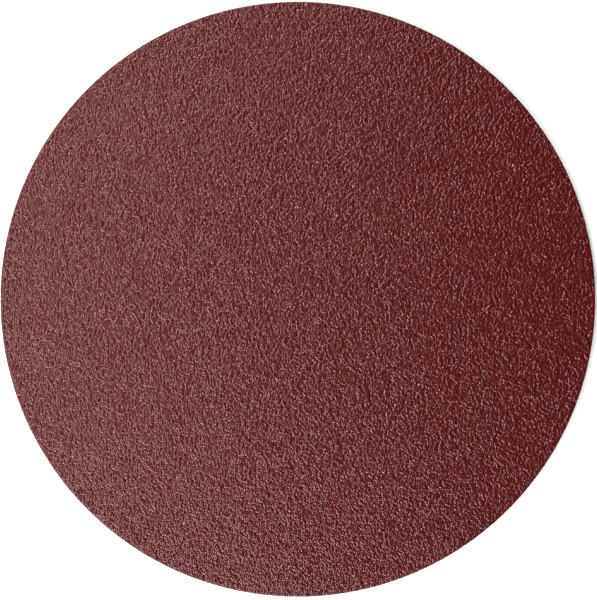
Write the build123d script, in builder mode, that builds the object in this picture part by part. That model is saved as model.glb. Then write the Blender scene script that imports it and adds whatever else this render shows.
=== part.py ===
"""Hook and loop sanding disc, 125 mm across, with no dust holes.

It is die-cut as one disc from three webs glued face to face: a knitted loop
cloth that grips the hooks of a backing pad, a heavy backing paper, and a coat
of crushed grain set in hard resin. The disc lies loop side down. The origin is
the centre of the loop face, and +Z is the disc's axis, out of the grain side.
"""

import os

from build123d import *

# Driving dimensions, in millimetres
disc_diameter = 125.0
grit_thickness = 0.55
paper_thickness = 0.35
ground_thickness = 0.4
pile_height = 0.5

# Rim of the grain coat, broken down by the die
rim_chamfer = 0.15

# Straight rows of loops under the ground cloth
row_pitch = 1.8
row_width = 1.6
row_round = 0.35

# The loops that the die cuts spring back from the rim by this much
pile_setback = 0.35

disc_radius = disc_diameter / 2
pile_radius = disc_radius - pile_setback
row_count = 2 * int(pile_radius / row_pitch) + 1
paper_bottom = pile_height + ground_thickness
grit_bottom = paper_bottom + paper_thickness


# Loop cloth: a flat knitted ground with rows of loops hanging from it. Each row has a
# flat crest and round shoulders, and its upper corners are lost inside the ground.
with BuildPart() as loop_fabric:
    with BuildSketch(Plane.XZ.offset(-disc_radius)):
        with Locations((0, (pile_height + row_round) / 2)):
            with GridLocations(row_pitch, 0, row_count, 1):
                RectangleRounded(row_width, pile_height + row_round, row_round)
    extrude(amount=disc_diameter)
    with BuildSketch():
        Circle(pile_radius)
    extrude(amount=paper_bottom, mode=Mode.INTERSECT)
    with BuildSketch(Plane.XY.offset(pile_height)):
        Circle(disc_radius)
    extrude(amount=ground_thickness)

# Backing paper: a heavy sheet, cut square at its edge
with BuildPart() as backing_paper:
    with BuildSketch(Plane.XY.offset(paper_bottom)):
        Circle(disc_radius)
    extrude(amount=paper_thickness)

# Grain coat: its top is the plane of the highest grain tips
with BuildPart() as grit_coat:
    with BuildSketch(Plane.XY.offset(grit_bottom)):
        Circle(disc_radius)
    extrude(amount=grit_thickness)
    top_rim = grit_coat.faces().sort_by(Axis.Z)[-1].edges()
    chamfer(top_rim, length=rim_chamfer)

loop_fabric.part.label = "loop_fabric"
backing_paper.part.label = "backing_paper"
grit_coat.part.label = "grit_coat"

os.makedirs("parts", exist_ok=True)
export_step(loop_fabric.part, "parts/loop_fabric.step")
export_step(backing_paper.part, "parts/backing_paper.step")
export_step(grit_coat.part, "parts/grit_coat.step")
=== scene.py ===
"""Hook and loop sanding disc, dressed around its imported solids, in the photograph's view.

The disc lies loop side down on a white floor. Lengths are in metres.
"""

import math

import bmesh
import bpy
import numpy as np
from mathutils import Matrix, Vector


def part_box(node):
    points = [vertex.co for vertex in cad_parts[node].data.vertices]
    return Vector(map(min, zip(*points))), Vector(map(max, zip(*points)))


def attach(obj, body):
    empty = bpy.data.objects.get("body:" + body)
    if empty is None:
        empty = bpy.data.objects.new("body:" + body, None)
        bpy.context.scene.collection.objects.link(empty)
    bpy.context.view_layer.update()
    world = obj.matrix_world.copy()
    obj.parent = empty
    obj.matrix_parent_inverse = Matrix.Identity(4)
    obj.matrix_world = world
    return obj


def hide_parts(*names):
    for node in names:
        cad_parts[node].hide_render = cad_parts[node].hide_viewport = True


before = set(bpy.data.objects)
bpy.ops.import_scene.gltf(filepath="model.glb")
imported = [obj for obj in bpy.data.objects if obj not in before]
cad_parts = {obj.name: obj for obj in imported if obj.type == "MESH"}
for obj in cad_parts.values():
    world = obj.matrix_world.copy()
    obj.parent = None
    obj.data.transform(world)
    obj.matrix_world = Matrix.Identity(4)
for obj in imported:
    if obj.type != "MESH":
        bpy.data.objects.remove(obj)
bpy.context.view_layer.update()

MM = 0.001
scene = bpy.context.scene
scene.view_settings.view_transform = "Standard"


# The photograph's view. The camera hangs over the disc and looks straight down at the grain
# side, with +Y up in the picture. The disc's rim is a true circle in the photograph, and its
# place and size there set the camera's place and its lens.
picture_width, picture_height = 597, 600
rim_centre_px = (297.83, 299.23)
rim_radius_px = 297.86
camera_height = 0.3
film_width = 36.0

coat_low, coat_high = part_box("grit_coat")
disc_radius = coat_high.x
metres_per_px = disc_radius / rim_radius_px

camera = bpy.data.objects.new("camera", bpy.data.cameras.new("camera"))
camera.data.sensor_width = film_width
camera.data.lens = film_width * camera_height / (metres_per_px * picture_height)
camera.location = (
    (picture_width / 2 - rim_centre_px[0]) * metres_per_px,
    (rim_centre_px[1] - picture_height / 2) * metres_per_px,
    coat_high.z + camera_height,
)
scene.collection.objects.link(camera)
scene.camera = camera


# Light. Four soft boxes stand over two metres away, in an arc to the left of the disc from above
# its top to below its bottom. They make the bumps shine on their left sides, most strongly
# towards the bottom, and the gloss fades to the right, where no lamp stands.
lamp_height = 1.50


def soft_box(name, place, size, watts):
    """A rectangular lamp that faces the disc."""
    lamp = bpy.data.lights.new(name, "AREA")
    lamp.shape = "RECTANGLE"
    lamp.size, lamp.size_y = size
    lamp.energy = watts
    stand = bpy.data.objects.new(name, lamp)
    stand.location = place
    stand.rotation_euler = (-Vector(place)).to_track_quat("-Z", "Y").to_euler()
    scene.collection.objects.link(stand)


soft_box("wide_left_lamp", place=(-2.02, 0.10, lamp_height), size=(1.50, 3.50), watts=32.8)
soft_box("upper_left_lamp", place=(-0.90, 1.45, lamp_height), size=(0.80, 0.88), watts=27.2)
soft_box("lower_left_lamp", place=(-1.13, -1.23, lamp_height), size=(0.75, 0.80), watts=17.1)
soft_box("lower_lamp", place=(-0.53, -1.68, lamp_height), size=(0.70, 0.82), watts=22.7)

room_light = 0.01
room = bpy.data.worlds.new("room")
room.use_nodes = True
room.node_tree.nodes["Background"].inputs["Color"].default_value = (1, 1, 1, 1)
room.node_tree.nodes["Background"].inputs["Strength"].default_value = room_light
scene.world = room


# Floor. A white paper sweep lies flat under the disc and curves up into a low wall all round. Its
# own glow takes it to white and is seen only by the camera, in gloss and through glass. It is
# weaker near the disc, so that the disc's shadow shows there.
floor_white = "#F4F4F3"
floor_glow = 0.45
glow_near = 0.10
glow_far = 0.60
sweep_radius = 2.4
sweep_bend = 0.3
sweep_wall = 0.3
bend_steps = 8
sweep_sides = 64
sweep_weld = 0.01 * MM


def colour(hex_code):
    """An sRGB hex colour as linear red, green, blue and alpha."""
    parts = [int(hex_code[i:i + 2], 16) / 255 for i in (1, 3, 5)]
    return [p / 12.92 if p <= 0.04045 else ((p + 0.055) / 1.055) ** 2.4 for p in parts] + [1.0]


def new_material(name):
    """A material with its Principled shader, at the shader's own defaults."""
    material = bpy.data.materials.new(name)
    material.use_nodes = True
    return material, material.node_tree.nodes["Principled BSDF"]


def add_node(material, kind, inputs=None, **settings):
    """Adds a node. Each input is given a value, or the output that feeds it."""
    tree = material.node_tree
    node = tree.nodes.new(kind)
    for name, value in settings.items():
        setattr(node, name, value)
    for name, value in (inputs or {}).items():
        if isinstance(value, bpy.types.NodeSocket):
            tree.links.new(value, node.inputs[name])
        else:
            node.inputs[name].default_value = value
    return node


def place_mesh(name, bm, material):
    """Writes a bmesh into a new smooth-shaded object at the origin."""
    mesh = bpy.data.meshes.new(name)
    bm.to_mesh(mesh)
    bm.free()
    mesh.materials.append(material)
    mesh.polygons.foreach_set("use_smooth", [True] * len(mesh.polygons))
    piece = bpy.data.objects.new(name, mesh)
    scene.collection.objects.link(piece)
    return piece


# Uncoated white paper: dead matt, with no shine of its own.
sweep_paper, shader = new_material("matt_white_sweep_paper")
shader.inputs["Base Color"].default_value = colour(floor_white)
shader.inputs["Roughness"].default_value = 1.0
shader.inputs["Specular IOR Level"].default_value = 0.0
shader.inputs["Emission Color"].default_value = (1, 1, 1, 1)
rays = add_node(sweep_paper, "ShaderNodeLightPath")
seen = add_node(
    sweep_paper, "ShaderNodeMath",
    {0: rays.outputs["Is Camera Ray"], 1: rays.outputs["Is Glossy Ray"]}, operation="MAXIMUM",
)
seen = add_node(
    sweep_paper, "ShaderNodeMath",
    {0: seen.outputs[0], 1: rays.outputs["Is Transmission Ray"]}, operation="MAXIMUM",
)
place = add_node(sweep_paper, "ShaderNodeTexCoord")
distance = add_node(
    sweep_paper, "ShaderNodeVectorMath", {0: place.outputs["Object"]}, operation="LENGTH",
)
glow = add_node(sweep_paper, "ShaderNodeMapRange", {
    "Value": distance.outputs["Value"], "From Min": glow_near, "From Max": glow_far,
    "To Min": floor_glow, "To Max": 1.0,
})
glow = add_node(
    sweep_paper, "ShaderNodeMath",
    {0: seen.outputs[0], 1: glow.outputs["Result"]}, operation="MULTIPLY",
)
sweep_paper.node_tree.links.new(glow.outputs[0], shader.inputs["Emission Strength"])

bm = bmesh.new()
profile = [bm.verts.new((0, 0, 0))]
for step in range(bend_steps + 1):
    turn = math.pi / 2 * step / bend_steps
    profile.append(bm.verts.new((
        sweep_radius + sweep_bend * math.sin(turn), 0, sweep_bend * (1 - math.cos(turn)),
    )))
profile.append(bm.verts.new((sweep_radius + sweep_bend, 0, sweep_bend + sweep_wall)))
edges = [bm.edges.new(pair) for pair in zip(profile, profile[1:])]
bmesh.ops.spin(
    bm, geom=profile + edges, axis=(0, 0, 1), cent=(0, 0, 0),
    angle=2 * math.pi, steps=sweep_sides, use_merge=True,
)
bmesh.ops.remove_doubles(bm, verts=bm.verts[:], dist=sweep_weld)
bmesh.ops.recalc_face_normals(bm, faces=bm.faces[:])
sweep = place_mesh("floor", bm, sweep_paper)
if sweep.data.polygons[0].normal.z < 0:
    sweep.data.flip_normals()


# Grain coat. Crushed aluminium oxide grain is dropped on wet resin, then more deep red resin is
# rolled over it, so each grain is a glossy lump that runs into its neighbours. It is modelled as
# the skin of that resin, in four quarters, each one closed down to the paper.
coat_cells = 336
grain_pitch = 0.45 * MM
grain_stray = 0.40 * grain_pitch
grain_radius = (0.45 * grain_pitch, 0.75 * grain_pitch)
grain_peak = (0.045 * MM, 0.135 * MM)
grain_stretch = 0.8
grain_tilt = 0.07
resin_follow = 23.0 / MM  # how closely the resin's skin sinks into the valleys between lumps
site_field = 2.4  # width of the field of grains in disc radii, so that none repeats on the disc
site_reach = 2  # grains this many places away still raise the skin
foot_mark = 1.0  # how far off a piece's foot is kept while its top is still flat
# The die presses the coat down at the rim and leaves its edge slightly frayed.
rim_crush = 0.12 * MM
rim_crush_width = 0.35 * MM
rim_fray = 0.08 * MM
rim_snap = 0.75
coat_top_clearance = 0.01 * MM
coat_least_depth = 0.1 * MM

# The pit red is partly the deeper red of thicker resin and partly painted shade.
pit_red_with_painted_shade = "#4E0D0E"
resin_tip_red = "#5C1113"
resin_pit_depth = 0.16 * MM
resin_tip_depth = 0.05 * MM
resin_roughness = 0.20
hidden_roughness = 0.55
rough_from, rough_to = 0.5, 0.95
open_shine, hidden_shine = 0.50, 0.03
fade_from, fade_to = 0.15, 0.55
gloss_tint = "#FFD4D5"
grain_ior = 1.76
facet_size = 0.36 * MM
facet_unevenness = 0.88
facet_depth = 0.12 * MM

sites = int(site_field * disc_radius / grain_pitch)
random = np.random.default_rng(7)
site_stray = random.uniform(-1, 1, (2, sites, sites)) * grain_stray
site_radius = random.uniform(*grain_radius, (sites, sites))
site_peak = random.uniform(*grain_peak, (sites, sites))
site_turn = random.uniform(0, math.pi, (sites, sites))
site_stretch = np.sqrt(random.uniform(1, 1 + grain_stretch, (sites, sites)))
site_tilt = random.normal(0, grain_tilt, (2, sites, sites))


def resin_height(x, y):
    """Height of the resin skin at each point. A grain is a low tilted dome on a hexagonal place,
    and the skin is a smooth maximum of the domes around the point."""
    row_gap = grain_pitch * math.sqrt(3) / 2
    nearest_row = np.floor(y / row_gap).astype(int)
    total = np.zeros_like(x)
    for row_step in range(-site_reach, site_reach + 1):
        row = nearest_row + row_step
        half_step = 0.5 * (row % 2)
        nearest_column = np.floor(x / grain_pitch - half_step).astype(int)
        for column_step in range(-site_reach, site_reach + 2):
            column = nearest_column + column_step
            site = (row % sites, column % sites)
            from_x = x - (column + half_step + 0.5) * grain_pitch - site_stray[0][site]
            from_y = y - (row + 0.5) * row_gap - site_stray[1][site]
            cosine, sine = np.cos(site_turn[site]), np.sin(site_turn[site])
            along = (from_x * cosine + from_y * sine) / site_stretch[site]
            across = (from_y * cosine - from_x * sine) * site_stretch[site]
            dome = site_peak[site] * (1 - (along ** 2 + across ** 2) / site_radius[site] ** 2)
            dome += site_tilt[0][site] * from_x + site_tilt[1][site] * from_y
            total += np.exp(resin_follow * dome)
    return np.log(total) / resin_follow


def coordinates(mesh):
    """A mesh's vertices as an array with a row for each."""
    flat = np.zeros(3 * len(mesh.vertices), np.float32)
    mesh.vertices.foreach_get("co", flat)
    return flat.reshape(-1, 3).astype(float)


def close_sheet(bm, depth):
    """Gives a flat sheet side walls with crisp edges, and a foot at that depth. The foot is a fan
    round its middle, because one face with long straight sides would be cut into slivers."""
    border = [edge for edge in bm.edges if edge.is_boundary]
    for edge in border:
        edge.smooth = False
    walls = bmesh.ops.extrude_edge_only(bm, edges=border)["geom"]
    wall_foot = [item for item in walls if isinstance(item, bmesh.types.BMVert)]
    bmesh.ops.translate(bm, verts=wall_foot, vec=(0, 0, depth))
    wall_edges = [item for item in walls if isinstance(item, bmesh.types.BMEdge)]
    ring = [edge for edge in wall_edges if edge.is_boundary]
    for edge in ring:
        edge.smooth = False
    foot = bmesh.ops.contextual_create(bm, geom=ring)["faces"]
    bmesh.ops.poke(bm, faces=foot)
    bmesh.ops.recalc_face_normals(bm, faces=bm.faces[:])


# Cured phenolic resin over crushed aluminium oxide: a hard wet-looking gloss on deep red, darker in
# the pits, partly because the resin lies thicker there and partly as painted shade. The IOR is
# aluminium oxide's, and the slight tint stands for light that comes back through the resin. The bump
# gives the grains their broken facets. Its size is the repeat of the bright spots in the photograph,
# which is finer than the grains themselves.
resin, shader = new_material("phenolic_resin_over_crushed_grain")
place = add_node(resin, "ShaderNodeTexCoord")
height = add_node(resin, "ShaderNodeSeparateXYZ", {"Vector": place.outputs["Object"]})
# Painted shade, together with the thicker resin's deeper red: the base red darkens from the lumps' tips
# down into the pits.
depth = add_node(resin, "ShaderNodeMapRange", {
    "Value": height.outputs["Z"],
    "From Min": coat_high.z - resin_pit_depth, "From Max": coat_high.z - resin_tip_depth,
})
red = add_node(
    resin, "ShaderNodeMix",
    {0: depth.outputs["Result"], 6: colour(pit_red_with_painted_shade), 7: colour(resin_tip_red)}, data_type="RGBA",
)
resin.node_tree.links.new(red.outputs[2], shader.inputs["Base Color"])
facets = add_node(resin, "ShaderNodeTexVoronoi", {
    "Vector": place.outputs["Object"], "Scale": 1 / facet_size, "Randomness": facet_unevenness,
})
bump = add_node(resin, "ShaderNodeBump", {
    "Height": facets.outputs["Distance"], "Strength": 1.0, "Distance": -facet_depth,
})
resin.node_tree.links.new(bump.outputs["Normal"], shader.inputs["Normal"])
# From the side, real grains hide each other's shine, and this low relief can't. So the gloss is
# held back where the coat is seen along its face. From above it hardly changes.
along_face = add_node(resin, "ShaderNodeLayerWeight", {"Blend": 0.5}).outputs["Facing"]
spread = add_node(resin, "ShaderNodeMapRange", {
    "Value": along_face, "From Min": rough_from, "From Max": rough_to,
    "To Min": resin_roughness, "To Max": hidden_roughness,
})
resin.node_tree.links.new(spread.outputs["Result"], shader.inputs["Roughness"])
shine = add_node(resin, "ShaderNodeMapRange", {
    "Value": along_face, "From Min": fade_from, "From Max": fade_to,
    "To Min": open_shine, "To Max": hidden_shine,
})
resin.node_tree.links.new(shine.outputs["Result"], shader.inputs["Specular IOR Level"])
shader.inputs["Specular Tint"].default_value = colour(gloss_tint)
shader.inputs["IOR"].default_value = grain_ior

cell = disc_radius / coat_cells
quarters = []
for number in range(4):
    bm = bmesh.new()
    bmesh.ops.create_grid(bm, x_segments=coat_cells, y_segments=coat_cells, size=disc_radius / 2)
    bmesh.ops.translate(bm, verts=bm.verts[:], vec=(disc_radius / 2, disc_radius / 2, 0))
    beyond_rim = [face for face in bm.faces if face.calc_center_median().length > disc_radius]
    bmesh.ops.delete(bm, geom=beyond_rim, context="FACES")
    for vert in bm.verts:
        if vert.is_boundary and vert.co.length > disc_radius - rim_snap * cell:
            vert.co *= (disc_radius - random.uniform(0, rim_fray)) / vert.co.length
    close_sheet(bm, depth=-foot_mark)
    quarter_turns = Matrix.Rotation(number * math.pi / 2, 3, "Z")
    bmesh.ops.rotate(bm, verts=bm.verts[:], cent=(0, 0, 0), matrix=quarter_turns)
    quarters.append(place_mesh(f"grain_coat_quarter_{number + 1}", bm, resin))

flats = [coordinates(quarter.data) for quarter in quarters]
skins = [resin_height(flat[:, 0], flat[:, 1]) for flat in flats]
highest = max(skin.max() for skin in skins)
for quarter, flat, skin in zip(quarters, flats, skins):
    rim_gap = disc_radius - np.hypot(flat[:, 0], flat[:, 1])
    crush = rim_crush * np.clip(1 - rim_gap / rim_crush_width, 0, 1) ** 2
    top = coat_high.z - coat_top_clearance - highest + skin - crush
    top = np.maximum(top, coat_low.z + coat_least_depth)
    flat[:, 2] = np.where(flat[:, 2] < -foot_mark / 2, coat_low.z, top)
    quarter.data.vertices.foreach_set("co", flat.astype(np.float32).ravel())
    quarter.data.update()
    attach(quarter, "root")
    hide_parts("grit_coat")


# Backing paper. Heavy kraft paper, saturated with red-brown resin so that it doesn't tear, and
# cut square by the die: its edge shows a bundle of pressed fibres.
paper_red_brown = "#6B3A2C"
paper_fibre_pale = "#8A5844"
paper_roughness = 0.8
fibre_length = 0.9 * MM
fibre_flatness = 8
fibre_relief = 0.05 * MM
fibre_detail = 4.0
fibre_bump = 0.5

# Sized kraft paper: matt, and streaked along the sheet, because its fibres lie flat.
paper, shader = new_material("resin_sized_kraft_paper")
place = add_node(paper, "ShaderNodeTexCoord")
lie = add_node(paper, "ShaderNodeMapping", {
    "Vector": place.outputs["Object"], "Scale": (1, 1, fibre_flatness),
})
fibres = add_node(paper, "ShaderNodeTexNoise", {
    "Vector": lie.outputs["Vector"], "Scale": 1 / fibre_length, "Detail": fibre_detail,
})
tone = add_node(
    paper, "ShaderNodeMix",
    {0: fibres.outputs["Fac"], 6: colour(paper_red_brown), 7: colour(paper_fibre_pale)}, data_type="RGBA",
)
paper.node_tree.links.new(tone.outputs[2], shader.inputs["Base Color"])
shader.inputs["Roughness"].default_value = paper_roughness
bump = add_node(paper, "ShaderNodeBump", {
    "Height": fibres.outputs["Fac"], "Strength": fibre_bump, "Distance": fibre_relief,
})
paper.node_tree.links.new(bump.outputs["Normal"], shader.inputs["Normal"])
paper_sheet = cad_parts["backing_paper"]
paper_sheet.data.materials.clear()
paper_sheet.data.materials.append(paper)


# Loop cloth. White nylon yarn is warp-knitted into a thin ground with straight rows, and each row
# carries small loops that the hooks of the pad catch. The cloth is glued to the paper's back.
# The real loops are finer and closer, and are drawn at about one a millimetre.
cloth_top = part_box("loop_fabric")[1].z
row_pitch = 1.8 * MM
row_width = 1.6 * MM
pile_rim_gap = 0.35 * MM
rows = 2 * int((disc_radius - pile_rim_gap) / row_pitch) + 1
columns_per_row = 6
cells_along_row = 64
ground_low = 0.5 * MM
row_crest = 0.34 * MM
flat_rim = 0.1 * MM
cloth_weld = 0.001 * MM

nylon_white = "#E4E0D6"
# The greyer colour is painted shade for the yarn down between the rows.
nylon_painted_shade = "#C6C1B5"
nylon_least_white = 0.25
nylon_roughness = 0.65
nylon_sheen = 0.3
nylon_sheen_roughness = 0.5
filament_size = 0.12 * MM
filament_detail = 2.0
filament_relief = 0.05 * MM
filament_bump = 0.6

# Knitted nylon yarn: soft white with a slight sheen, and greyer down between the rows, which is
# painted shade. Its filaments are some 0.02 mm thick and are drawn coarser, at 0.12 mm, so that
# they show.
nylon, shader = new_material("knitted_nylon_yarn")
place = add_node(nylon, "ShaderNodeTexCoord")
filaments = add_node(nylon, "ShaderNodeTexNoise", {
    "Vector": place.outputs["Object"], "Scale": 1 / filament_size, "Detail": filament_detail,
})
height = add_node(nylon, "ShaderNodeSeparateXYZ", {"Vector": place.outputs["Object"]})
# Painted shade: the yarn greys from the loop tops down towards the ground, mixed with the filaments'
# random tone.
crest = add_node(nylon, "ShaderNodeMapRange", {
    "Value": height.outputs["Z"], "From Min": ground_low, "From Max": 0.0,
})
depth_shade_and_filaments = add_node(nylon, "ShaderNodeMath", {
    0: crest.outputs["Result"], 1: filaments.outputs["Fac"], 2: nylon_least_white,
}, operation="MULTIPLY_ADD")
tone = add_node(
    nylon, "ShaderNodeMix",
    {0: depth_shade_and_filaments.outputs[0], 6: colour(nylon_painted_shade), 7: colour(nylon_white)}, data_type="RGBA",
)
nylon.node_tree.links.new(tone.outputs[2], shader.inputs["Base Color"])
shader.inputs["Roughness"].default_value = nylon_roughness
shader.inputs["Sheen Weight"].default_value = nylon_sheen
shader.inputs["Sheen Roughness"].default_value = nylon_sheen_roughness
bump = add_node(nylon, "ShaderNodeBump", {
    "Height": filaments.outputs["Fac"], "Strength": filament_bump, "Distance": filament_relief,
})
nylon.node_tree.links.new(bump.outputs["Normal"], shader.inputs["Normal"])

bm = bmesh.new()
bmesh.ops.create_grid(bm, x_segments=rows * columns_per_row, y_segments=cells_along_row, size=1)
bmesh.ops.reverse_faces(bm, faces=bm.faces[:])
close_sheet(bm, depth=foot_mark)
ground = place_mesh("knitted_ground", bm, nylon)
square = coordinates(ground.data)
x = square[:, 0] * disc_radius
half_chord = np.sqrt(np.maximum(disc_radius ** 2 - x ** 2, 0))
y = half_chord * np.sin(math.pi / 2 * square[:, 1])
from_row = (x + row_pitch / 2) % row_pitch - row_pitch / 2
ridge = np.sqrt(np.maximum(1 - (2 * from_row / row_width) ** 2, 0))
inside = np.clip((disc_radius - np.hypot(x, y) - flat_rim) / pile_rim_gap, 0, 1)
z = ground_low - (ground_low - row_crest) * ridge * inside
z = np.where(square[:, 2] > foot_mark / 2, cloth_top, z)
ground.data.vertices.foreach_set("co", np.stack([x, y, z], 1).astype(np.float32).ravel())
# The square's left and right sides have each shrunk to a point of the rim, and are welded there.
bm = bmesh.new()
bm.from_mesh(ground.data)
bmesh.ops.remove_doubles(bm, verts=bm.verts[:], dist=cloth_weld)
bm.to_mesh(ground.data)
bm.free()
ground.data.update()
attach(ground, "root")
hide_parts("loop_fabric")

# One loop of yarn is half a ring, which hangs across its row with both feet in the ridge. Each
# loop turns and leans by chance, with these spreads in radians.
loop_span = 1.0 * MM
loop_gap = 0.95 * MM
yarn_radius = 0.12 * MM
yarn_sides = 3
loop_bends = 4
loop_stray = 0.10 * MM
loop_turn = 0.6
loop_lean = 0.4
loop_floor_gap = 0.01 * MM
pile_setback = 0.75 * MM

bm = bmesh.new()
bmesh.ops.create_circle(bm, cap_ends=False, segments=yarn_sides, radius=yarn_radius)
bmesh.ops.translate(bm, verts=bm.verts[:], vec=(loop_span / 2, 0, 0))
bmesh.ops.spin(
    bm, geom=bm.verts[:] + bm.edges[:], axis=(0, 1, 0), cent=(0, 0, 0),
    angle=math.pi, steps=loop_bends,
)
bmesh.ops.holes_fill(bm, edges=[edge for edge in bm.edges if edge.is_boundary])
bmesh.ops.recalc_face_normals(bm, faces=bm.faces[:])
loop = bpy.data.meshes.new("loop")
bm.to_mesh(loop)
bm.free()
loop_shape = coordinates(loop)

bm = bmesh.new()
for row in range(rows):
    row_x = (row - rows // 2) * row_pitch
    row_end = math.sqrt(max((disc_radius - pile_setback) ** 2 - row_x ** 2, 0))
    for y in np.arange(-row_end + random.uniform(0, loop_gap / 2), row_end, loop_gap):
        turn = Matrix.Rotation(random.normal(0, loop_turn), 3, "Z")
        lean = Matrix.Rotation(random.normal(0, loop_lean), 3, "X")
        points = loop_shape @ np.array(turn @ lean).T
        points += (row_x + random.normal(0, loop_stray), y, 0)
        points[:, 2] += loop_floor_gap - points[:, 2].min()
        loop.vertices.foreach_set("co", points.astype(np.float32).ravel())
        bm.from_mesh(loop)
pile = place_mesh("loop_pile", bm, nylon)
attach(pile, "root")
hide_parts("loop_fabric")
